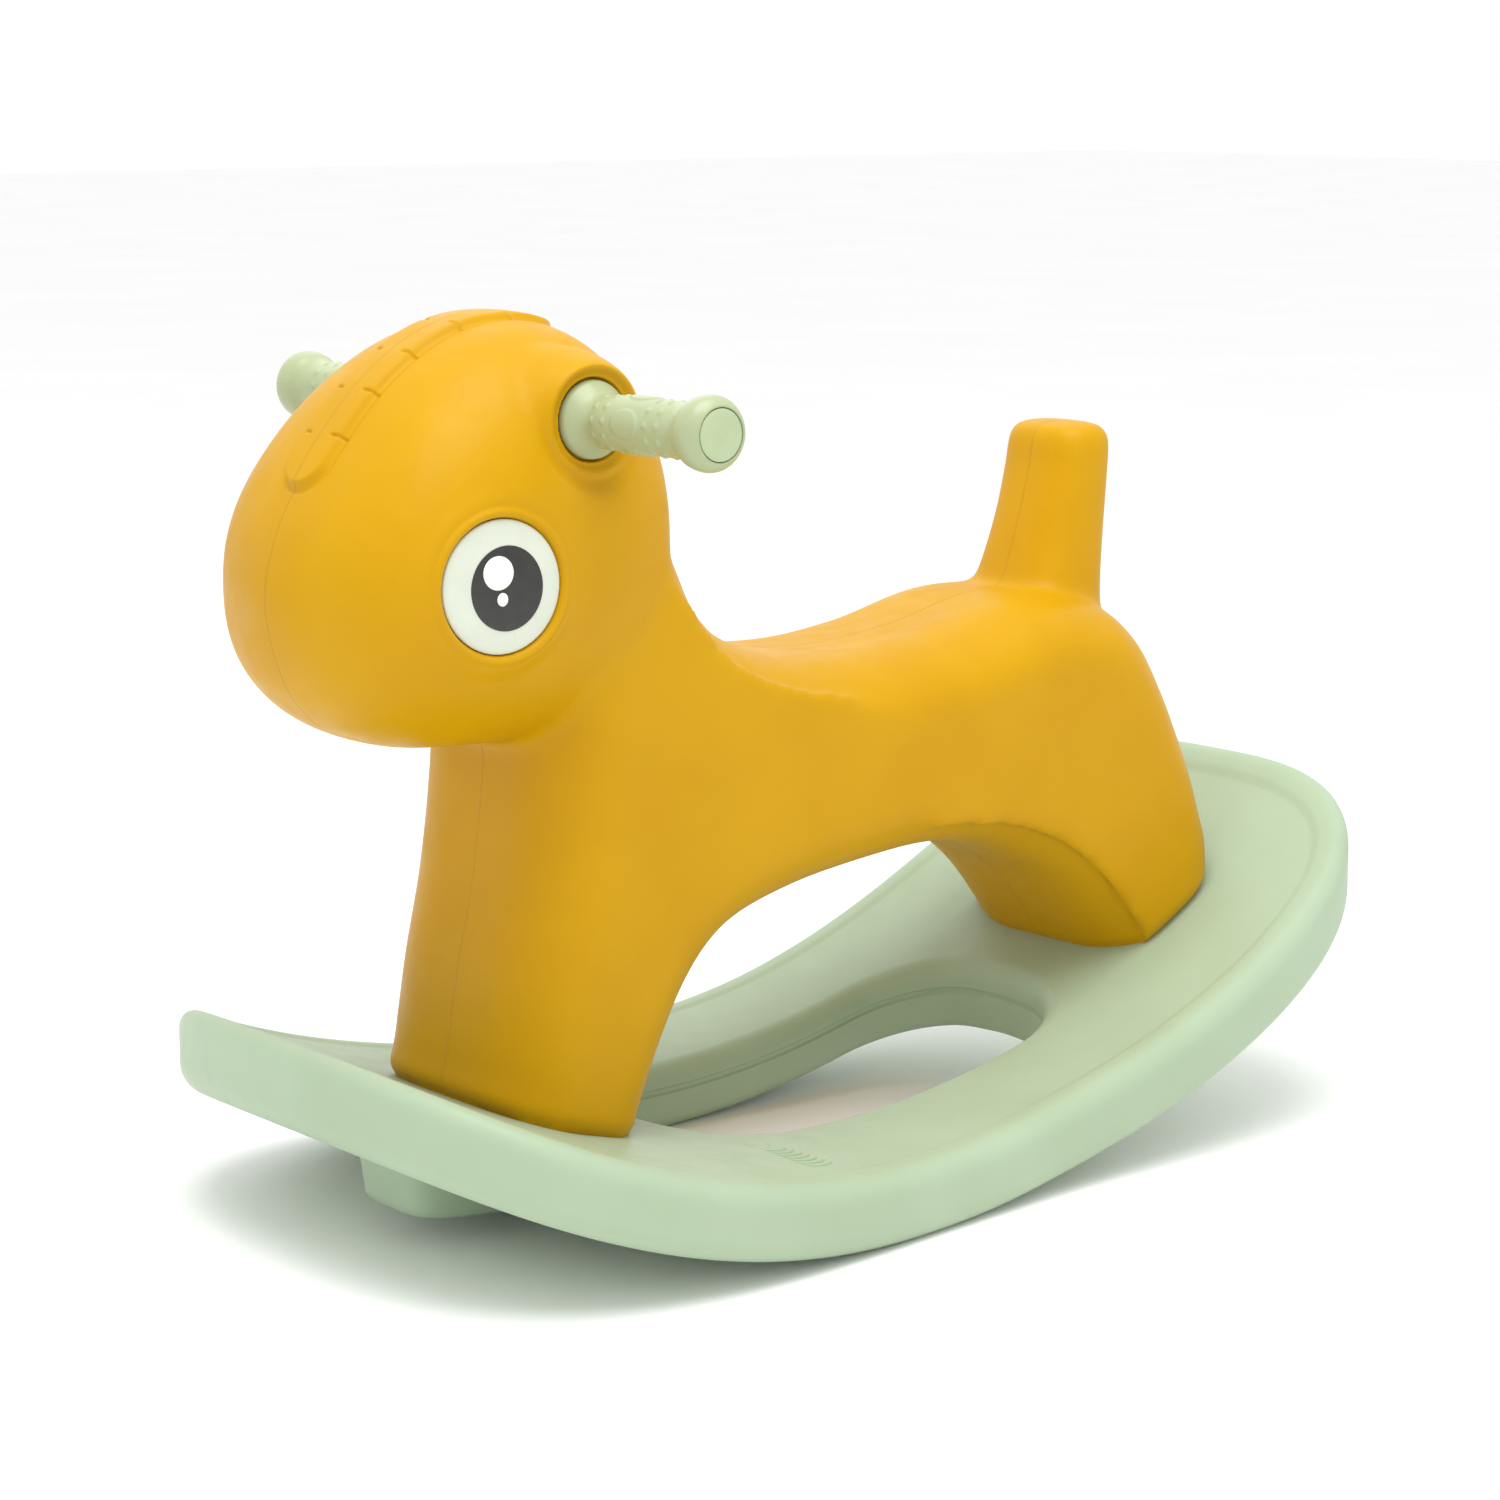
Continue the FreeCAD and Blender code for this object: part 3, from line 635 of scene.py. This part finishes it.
@dataclass
class HorseBody:
    """Head, neck, trunk, legs and tail, blown as one shell."""

    board: RockerBoard
    snout: float
    crown: float
    handle: Array
    eye: Array
    trunk_half_width: float = 71.0
    round_depth: float = 31.0
    round_width: float = 46.0
    head_back: float = -68.5
    chin: float = 242.0
    head_half_width: float = 87.0
    voxel: float = 3.0
    mane_half_width: float = 15.5
    mane_rise: float = 3.0

    def trunk(self) -> Piece:
        """Neck, trunk and legs: a slab with a side outline and well-rounded edges."""
        # distances ahead of the handle's axis, and heights
        back = [
            (38, -10), (38, 69), (35, 82), (27, 128), (17, 174), (10, 232), (9, 300),
            (0, 345), (-33, 363), (-59, 348), (-72, 325), (-83, 304), (-104, 285), (-144, 270.5),
            (-196, 266.5), (-251, 272), (-308, 284), (-356, 280), (-383, 262), (-401, 235), (-413, 212),
            (-424, 188), (-433, 163), (-440, 133), (-440, 30),
        ]
        arch = [
            (-362, 30), (-362, 88), (-357, 97), (-347, 110), (-333, 125), (-314, 140), (-292, 151),
            (-264, 159), (-226, 161), (-166, 155), (-130, 148), (-105, 140), (-89, 130), (-75, 114),
            (-62, 91), (-51, 66), (-45, 46), (-45, -10),
        ]
        path = np.vstack((smooth_path(back, 8), smooth_path(arch, 8), back[:1]))
        outline = even(path, 420) + vector(self.handle[0], 0)
        normals = outward(outline)
        half = []
        for angle in [math.radians(a) for a in (0, 10, 20, 30, 42, 54, 66, 78, 90)]:
            inset = self.round_depth * (1 - math.sin(angle))
            wide = self.trunk_half_width - self.round_width * (1 - math.cos(angle))
            half.append((outline - normals * inset, wide))
        rows = []
        for plan, y in half + [(plan, -wide) for plan, wide in half[::-1]]:
            # the soles end a little under the board's top face
            sole = self.board.height(plan[:, 0], self.board.recess + 3.0)
            height = np.maximum(plan[:, 1], sole)
            rows.append(np.column_stack((plan[:, 0], np.full(len(plan), y), height)))
        return skin("trunk", np.array(rows), capped=True)

    def head(self) -> Piece:
        """Egg-shaped head from upright sections, snout first."""
        length = self.snout - self.handle[0] - self.head_back
        tall = self.crown - self.chin
        # share of the length behind the snout, then bottom, top and half width as shares
        sections = [
            (0.0, 0.37, 0.37, 0.0), (0.004, 0.32, 0.43, 0.16), (0.04, 0.20, 0.54, 0.50),
            (0.09, 0.12, 0.63, 0.75), (0.17, 0.055, 0.74, 0.91), (0.29, 0.015, 0.865, 0.98),
            (0.45, 0.0, 0.965, 1.0), (0.62, 0.0, 1.0, 0.98), (0.78, 0.02, 0.97, 0.92),
            (0.90, 0.09, 0.87, 0.80), (0.965, 0.18, 0.73, 0.62), (0.995, 0.32, 0.58, 0.34),
            (1.0, 0.45, 0.46, 0.0),
        ]
        table = smooth_path(sections, 7)
        section = superellipse(2.4, 120)
        rings = []
        for behind, low, high, wide in table:
            x = self.snout - behind * length
            middle = self.chin + tall * (low + high) / 2
            half = tall * max(high - low, 0.0) / 2
            y = section[:, 0] * max(wide, 0.0) * self.head_half_width
            z = middle + section[:, 1] * half
            rings.append(np.column_stack((np.full(len(section), x), y, z)))
        return skin("head", np.array(rings))

    def tail(self) -> Piece:
        """Upright tail from level sections that lean back and flare at the root."""
        front, thick, wide_half = self.handle[0] - 353.0, 40.0, 30.0
        top, root = 371.0, 255.0
        # share of the height, lean of the front, extra thickness and share of the half width
        sections = [
            (0.0, 38, 27, 1.3), (0.28, 22, 13, 1.12), (0.55, 11, 6, 1.0), (0.80, 3, 0, 0.98),
            (0.92, 1, -1, 0.96), (0.975, -2, -7, 0.86), (0.998, -9, -20, 0.6), (1.0, -17, -38, 0.05),
        ]
        section = superellipse(3.0, 96)
        rings = []
        for share, lean, extra, wide in smooth_path(sections, 6):
            thickness = max(thick + extra, 0.5)
            middle = front + lean - thickness / 2
            x = middle + section[:, 0] * thickness / 2
            y = section[:, 1] * wide * wide_half
            z = np.full(len(section), root + share * (top - root))
            rings.append(np.column_stack((x, y, z)))
        return skin("tail", np.array(rings), capped=True)

    def mane_place(self, points: Array) -> tuple[Array, Array, Array]:
        """Places on the crown.

        Args:
            points: Points, in millimetres.

        Returns:
            Distance along the ridge, distance inside its edge, and the ridge's length.
        """
        centre = vector(self.handle[0] + 24, 345)
        arc = 100.0
        start, end = math.radians(15), math.radians(121)
        angle = np.arctan2(points[:, 2] - centre[1], points[:, 0] - centre[0])
        along = (angle - start) * arc
        length = (end - start) * arc
        beyond = np.abs(along - length / 2) - (length / 2 - self.mane_half_width)
        inside = self.mane_half_width - np.hypot(np.maximum(beyond, 0), points[:, 1])
        near = points[:, 2] > 355
        return along, np.where(near, inside, -99.0), length

    def seat(self, points: Array, centre: Array, side: Side, lean: float) -> tuple[Array, Array, Array]:
        """Places round a seat on the side of the head.

        Args:
            points: Points, in millimetres.
            centre: Middle of the seat on the left side.
            side: Which side of the head.
            lean: Degrees that the seat faces forwards.

        Returns:
            Distance from the seat's axis, height over its plane, and the axis.
        """
        turn = math.radians(lean)
        axis = vector(math.sin(turn), side.value * math.cos(turn), 0)
        offset = points - centre * vector(1, side.value, 1)
        height = offset @ axis
        across = np.linalg.norm(offset - height[:, None] * axis, axis=1)
        return np.where(np.abs(height) < 30, across, 999.0), height, axis

    def sink(self, points: Array, centre: Array, side: Side, lean: float, shape: tuple[float, ...]) -> Array:
        """Press a flat round pocket with a raised lip into the head.

        Args:
            points: Points, in millimetres.
            centre: Middle of the seat on the left side.
            side: Which side of the head.
            lean: Degrees that the seat faces forwards.
            shape: Pocket radius and depth, lip radius, half width and rise, and the fade's reach.

        Returns:
            The moved points.
        """
        pocket, depth, lip, lip_width, rise, fade = shape
        across, height, axis = self.seat(points, centre, side, lean)
        flat = 1 - step((across - lip) / fade)
        move = -height * flat
        move += rise * hump((across - lip) / lip_width)
        move -= depth * step((pocket - across) / 1.1 + 0.5)
        return points + np.where(across < 900, move, 0)[:, None] * axis

    def tuck_soles(self, points: Array, normals: Array) -> Array:
        """Round the lower edge of both feet inwards where they meet the board."""
        reach, depth = 9.0, 4.0
        above = points[:, 2] - self.board.height(points[:, 0], self.board.recess)
        share = np.where(points[:, 2] < 170, np.clip(1 - above / reach, 0, 1) ** 2, 0)
        return points - (depth * share)[:, None] * normals * vector(1, 1, 0)

    def detail(self, piece: Piece) -> None:
        """Work the mane ridge, the eye pockets and the handle seats into the shell."""
        eye_shape = (31.6, 3.0, 34.2, 3.0, 1.5, 11.0)
        handle_shape = (19.4, 4.0, 25.0, 4.2, 2.0, 12.0)
        seats = [(self.eye, 4.5, eye_shape), (self.handle, 0.0, handle_shape)]
        for margin in (9.0, 5.0):
            centres = face_centres(piece)
            wanted = self.mane_place(centres)[1] > -margin
            for centre, lean, shape in seats:
                for side in Side:
                    across = self.seat(centres, centre, side, lean)[0]
                    wanted |= (across > shape[0] - margin) & (across < shape[2] + shape[3] + margin * 0.6)
            refine(piece, wanted)
        points = self.tuck_soles(read(piece), vertex_normals(piece))
        along, inside, length = self.mane_place(points)
        rise = self.mane_rise * step((inside + 0.6) / 3.4) - 0.7 * hump((inside + 1.8) / 1.9)
        notches = 6
        for i in range(1, notches):
            tick = hump((along - length * i / notches) / 1.5)
            rise -= 1.2 * tick * step((inside + 3.5) / 2) * step((8.5 - inside) / 2)
        points = points + rise[:, None] * vertex_normals(piece)
        for centre, lean, shape in seats:
            for side in Side:
                points = self.sink(points, centre, side, lean, shape)
        write(piece, points)

    def build(self) -> Piece:
        """Model the shell as one piece."""
        body = joined(self.trunk(), self.head(), self.tail())
        body.name = body.data.name = "horse_shell"
        apply(body, "REMESH", mode="VOXEL", voxel_size=self.voxel * MM)
        apply(body, "SMOOTH", factor=0.5, iterations=16)
        self.detail(body)
        return body

    def dress(self, piece: Piece) -> None:
        """Give the shell its moulded finish and its place."""
        complete(piece, HORSE_PLASTIC.make(), ["horse_body"], 60)


# ------------------------------------------------------------------ eyes


@dataclass
class Eye:
    """A domed white disc with a pad-printed pupil and two glints."""

    side: Side
    centre: Array
    lean: float = 4.5
    radius: float = 31.0
    thickness: float = 3.0
    dome: float = 1.5

    def axes(self) -> tuple[Array, Array]:
        """Directions out of the head and forwards along the disc."""
        turn = math.radians(self.lean)
        out = vector(math.sin(turn), self.side.value * math.cos(turn), 0)
        ahead = vector(math.cos(turn), -self.side.value * math.sin(turn), 0)
        return out, ahead

    def disc(self) -> Piece:
        """The white disc, with a softly rounded edge."""
        edge = self.radius
        shoulder, rounding = -1.4, 1.2
        profile = [(-self.thickness, 0.0), (-self.thickness, edge * 0.5), (-self.thickness, edge - 0.4)]
        profile += [(-self.thickness + 0.5, edge), (shoulder, edge)]
        for a in np.radians((20, 40, 60, 80)):
            profile.append((shoulder + rounding * math.sin(a), edge - rounding * (1 - math.cos(a))))
        rest = np.linspace(edge - 1.6, 0, 16)
        profile += [(self.dome * (1 - (r / edge) ** 2) - 0.1, r) for r in rest]
        out, ahead = self.axes()
        return skin(f"{self.side.label}_eye_white", turned(np.array(profile), self.centre, out, ahead, 128))

    def mark(self, name: str, ahead: float, up: float, half: tuple[float, float], layer: float) -> Piece:
        """A thin printed mark that follows the disc's dome.

        Args:
            name: Name of the piece.
            ahead: Place along the disc.
            up: Place up the disc.
            half: Half width and half height.
            layer: Height over the disc's face.

        Returns:
            The new piece.
        """
        out, forward = self.axes()
        levels = [(-0.6, 1.0), (layer - 0.12, 1.0), (layer - 0.03, 0.993), (layer, 0.98)]
        levels += [(layer, share) for share in (0.8, 0.6, 0.4, 0.2, 0.0)]
        angles = np.linspace(0, 2 * math.pi, 97)
        rings = []
        for rise, share in levels:
            u = ahead + half[0] * share * np.cos(angles)
            v = up + half[1] * share * np.sin(angles)
            height = rise + self.dome * (1 - (u**2 + v**2) / self.radius**2)
            level = self.centre + u[:, None] * forward + v[:, None] * vector(0, 0, 1)
            rings.append(level + height[:, None] * out)
        return skin(name, np.array(rings), capped=True)

    def build(self) -> None:
        """Model and dress the disc and its printed marks."""
        label = self.side.label
        complete(self.disc(), EYE_WHITE.make(), [f"{label}_eye_disc"])
        pupil = self.mark(f"{label}_eye_black", -1.9, -0.6, (19.0, 19.6), 0.25)
        complete(pupil, EYE_BLACK.make(), [f"{label}_eye_pupil"])
        large = self.mark(f"{label}_eye_glint", 3.0, 6.8, (7.9, 7.8), 0.45)
        small = self.mark("small_glint", 1.0, -5.4, (2.8, 3.1), 0.45)
        complete(joined(large, small), EYE_GLINT.make(), [f"{label}_eye_highlights"])


# ------------------------------------------------------------------ hand grips


@dataclass
class HandGrip:
    """A moulded grip: flange, waist, handle with raised ovals and dots, and a round knob."""

    side: Side
    axis: Array
    start: float
    end: float
    handle_radius: float = 12.8
    flange_radius: float = 18.4
    knob_radius: float = 17.4
    cap_radius: float = 12.0

    def grip(self) -> Piece:
        """The turned body with its raised pattern."""
        length = self.end - self.start
        r = self.handle_radius
        outer = [
            (0.0, self.flange_radius - 1.4), (1.2, self.flange_radius - 0.3), (3.0, self.flange_radius),
            (5.4, self.flange_radius - 0.5), (7.5, self.flange_radius - 2.2), (10.0, r + 1.4),
            (13.0, r - 0.2), (16.0, r - 0.7), (19.0, r - 0.3), (23.0, r), (40.0, r + 0.1), (60.0, r),
            (length - 28, r), (length - 22, r + 0.2), (length - 18, r + 1.5), (length - 14.5, r + 3.4),
            (length - 11, self.knob_radius - 0.3), (length - 8, self.knob_radius),
            (length - 5, self.knob_radius - 0.5), (length - 2.4, self.knob_radius - 2.0),
            (length - 0.8, self.knob_radius - 3.6), (length - 0.2, self.cap_radius + 1.0),
            (length - 0.6, self.cap_radius + 0.35), (length - 3.0, self.cap_radius + 0.3),
        ]
        curve = even(smooth_path(outer, 8), 190)
        profile = np.vstack(((0.0, 0.0), (0.0, 8.0), curve, (length - 3.0, 0.0)))
        out = vector(0, self.side.value, 0)
        base = self.axis * vector(1, 0, 1) + out * self.start
        piece = skin(f"{self.side.label}_hand_grip", turned(profile, base, out, vector(1, 0, 0), 132))
        points = read(piece)
        across = points - self.axis
        along = points[:, 1] * self.side.value - self.start
        radius = np.hypot(across[:, 0], across[:, 2])
        angle = np.arctan2(across[:, 2], across[:, 0])
        rise = np.zeros(len(points))
        on_wall = radius > r - 2
        for quarter in range(4):
            gap = self.turn_between(angle, math.radians(8 + 90 * quarter)) * r
            reach = np.hypot((along - 43.0) / 10.5, gap / 7.2)
            rise += 0.75 * step((1 - reach) / 0.16)
        dots = 11
        for station in (18.5, 27.0, 58.0, 66.5):
            for i in range(dots):
                gap = self.turn_between(angle, 2 * math.pi * (i + 0.25) / dots) * r
                rise += 0.8 * hump(np.hypot((along - station) / 2.3, gap / 2.6))
        scale = np.where(on_wall, rise / np.maximum(radius, 1), 0)
        write(piece, points + across * vector(1, 0, 1) * scale[:, None])
        return piece

    @staticmethod
    def turn_between(angle: Array, centre: float) -> Array:
        """Smallest turn from an angle to each angle, in radians."""
        return np.abs((angle - centre + math.pi) % (2 * math.pi) - math.pi)

    def cap(self) -> Piece:
        """The slightly domed cap that closes the knob."""
        r = self.cap_radius
        profile = [
            (-3.0, 0.0), (-3.0, r - 0.3), (-1.0, r - 0.05), (-0.55, r - 0.1), (-0.25, r - 0.45),
            (-0.15, r - 1.1),
        ]
        profile += [(0.5 - 0.6 * (x / r) ** 2, x) for x in np.linspace(r - 1.6, 0, 10)]
        out = vector(0, self.side.value, 0)
        base = self.axis * vector(1, 0, 1) + out * self.end
        return skin(f"{self.side.label}_end_cap", turned(np.array(profile), base, out, vector(1, 0, 0), 96))

    def build(self) -> None:
        """Model and dress the grip and its cap."""
        label = self.side.label
        complete(self.grip(), GRIP_PLASTIC.make(), [f"{label}_grip"], 50)
        complete(self.cap(), CAP_PLASTIC.make(), [f"{label}_grip_cap"], 35)


# ------------------------------------------------------------------ carried hardware


@dataclass(frozen=True)
class Hardware:
    """CAD nodes that keep their shape and get a finish."""

    finish: MouldedPlastic | WorkedMetal
    nodes: tuple[str, ...]

    def dress(self) -> None:
        """Put the finish on every node's slots."""
        material = self.finish.make()
        for name in self.nodes:
            node = frame["nodes"][name]
            if not node.material_slots:
                node.data.materials.append(material)
            for slot in node.material_slots:
                slot.material = material
            log.info("%s: %s", name, material.name)


HARDWARE = (
    Hardware(ALUMINIUM, ("handlebar_tube",)),
    Hardware(PLUG_PLASTIC, ("left_tube_plug", "right_tube_plug")),
    Hardware(ZINC_STEEL, ("front_leg_bolts", "front_leg_washers", "rear_leg_bolts", "rear_leg_washers",
                          "left_grip_screw", "left_grip_washer", "right_grip_screw", "right_grip_washer")),
    Hardware(BRASS, ("front_leg_inserts", "rear_leg_inserts")),
)


# ------------------------------------------------------------------ studio


@dataclass
class Studio:
    """Pale floor, soft lights and the camera."""

    camera_place: tuple[float, float, float] = (1.2359, 1.4674, 0.564)
    camera_right: tuple[float, float, float] = (-0.7727, 0.6347, 0.0)
    camera_up: tuple[float, float, float] = (-0.1146, -0.1395, 0.9836)
    camera_back: tuple[float, float, float] = (0.6243, 0.7600, 0.1805)
    lens: float = 90.9

    def floor(self) -> None:
        """Wide matt floor that fades into the white surroundings."""
        pick()
        bpy.ops.mesh.primitive_plane_add(size=30)
        floor = bpy.context.object
        floor.name = floor.data.name = "studio_floor"
        material, tree, place = new_material("Matt_white_paper")
        tone = ranged(tree, noise(tree, place, 400.0), (0.3, 0.7), (0.0, 1.0))
        colour = blended(tree, tone, linear("#fcfcfc"), linear("#fafafa"))
        close(tree, Base_Color=colour, Roughness=0.9)
        floor.data.materials.append(material)

    def light(self, name: str, place: Array, target: Array, size: float, power: float) -> None:
        """A square soft light that points at a target."""
        data = bpy.data.lights.new(name, "AREA")
        data.shape = "SQUARE"
        data.size = size
        data.energy = power
        light = bpy.data.objects.new(name, data)
        bpy.context.scene.collection.objects.link(light)
        light.location = place
        light.rotation_euler = Vector(target - place).to_track_quat("-Z", "Y").to_euler()

    def build(self) -> None:
        """Set up floor, lights, surroundings and camera."""
        self.floor()
        target = vector(0, 0, 0.2)
        self.light("key_light", vector(0.35, 0.45, 2.3), target, 1.6, 37)
        self.light("rim_light", vector(-0.6, -1.8, 1.6), target, 1.6, 4)
        world = bpy.data.worlds.new("white_surroundings")
        world.use_nodes = True
        background = world.node_tree.nodes["Background"]
        background.inputs["Color"].default_value = (1.0, 1.0, 1.0, 1.0)
        background.inputs["Strength"].default_value = 1.0
        bpy.context.scene.world = world
        bpy.context.scene.view_settings.view_transform = "Standard"
        data = bpy.data.cameras.new("camera")
        data.lens = self.lens
        data.sensor_width = 36
        camera = bpy.data.objects.new("camera", data)
        bpy.context.scene.collection.objects.link(camera)
        turn = Matrix((self.camera_right, self.camera_up, self.camera_back)).transposed().to_4x4()
        camera.matrix_world = Matrix.Translation(self.camera_place) @ turn
        bpy.context.scene.camera = camera


# ------------------------------------------------------------------ assembly

# How the shell sits against its CAD places, in millimetres.
EYE_AHEAD = 2.0
EYE_INSET = 1.5
SEAT_OVER_FLANGE = 3.8
MANE_ROOM = 4.0


def build_board() -> RockerBoard:
    """Model and dress the rocker board from its CAD box and the record's floor contact."""
    mounts = {mount["name"]: mount for mount in frame["record"]["mounts"]}
    low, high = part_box("rocker_base")
    board = RockerBoard(length=(high.x - low.x) / MM, middle=mounts["floor_contact"]["pos_m"][0] / MM)
    board.dress(board.build())
    return board


def build_horse(board: RockerBoard) -> None:
    """Model and dress the shell, the eyes and the grips round their CAD places."""
    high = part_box("horse_body")[1]
    grip_low, grip_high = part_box("left_grip")
    eye = middle_of("left_eye_disc") + vector(EYE_AHEAD, 0, 0)
    eye[1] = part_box("left_eye_disc")[1].y / MM - EYE_INSET
    handle = middle_of("left_grip")
    handle[1] = grip_low.y / MM + SEAT_OVER_FLANGE
    body = HorseBody(board, snout=high.x / MM, crown=high.z / MM - MANE_ROOM, handle=handle, eye=eye)
    body.dress(body.build())
    for side in Side:
        Eye(side, eye * vector(1, side.value, 1)).build()
        HandGrip(side, handle * vector(1, 0, 1), grip_low.y / MM, grip_high.y / MM).build()


def main() -> None:
    """Build the horse from the board up, then the studio."""
    logging.basicConfig(level=logging.INFO, format="%(name)s %(message)s")
    board = build_board()
    build_horse(board)
    for hardware in HARDWARE:
        hardware.dress()
    Studio().build()
    bpy.context.view_layer.update()


if __name__ == "__main__":
    main()
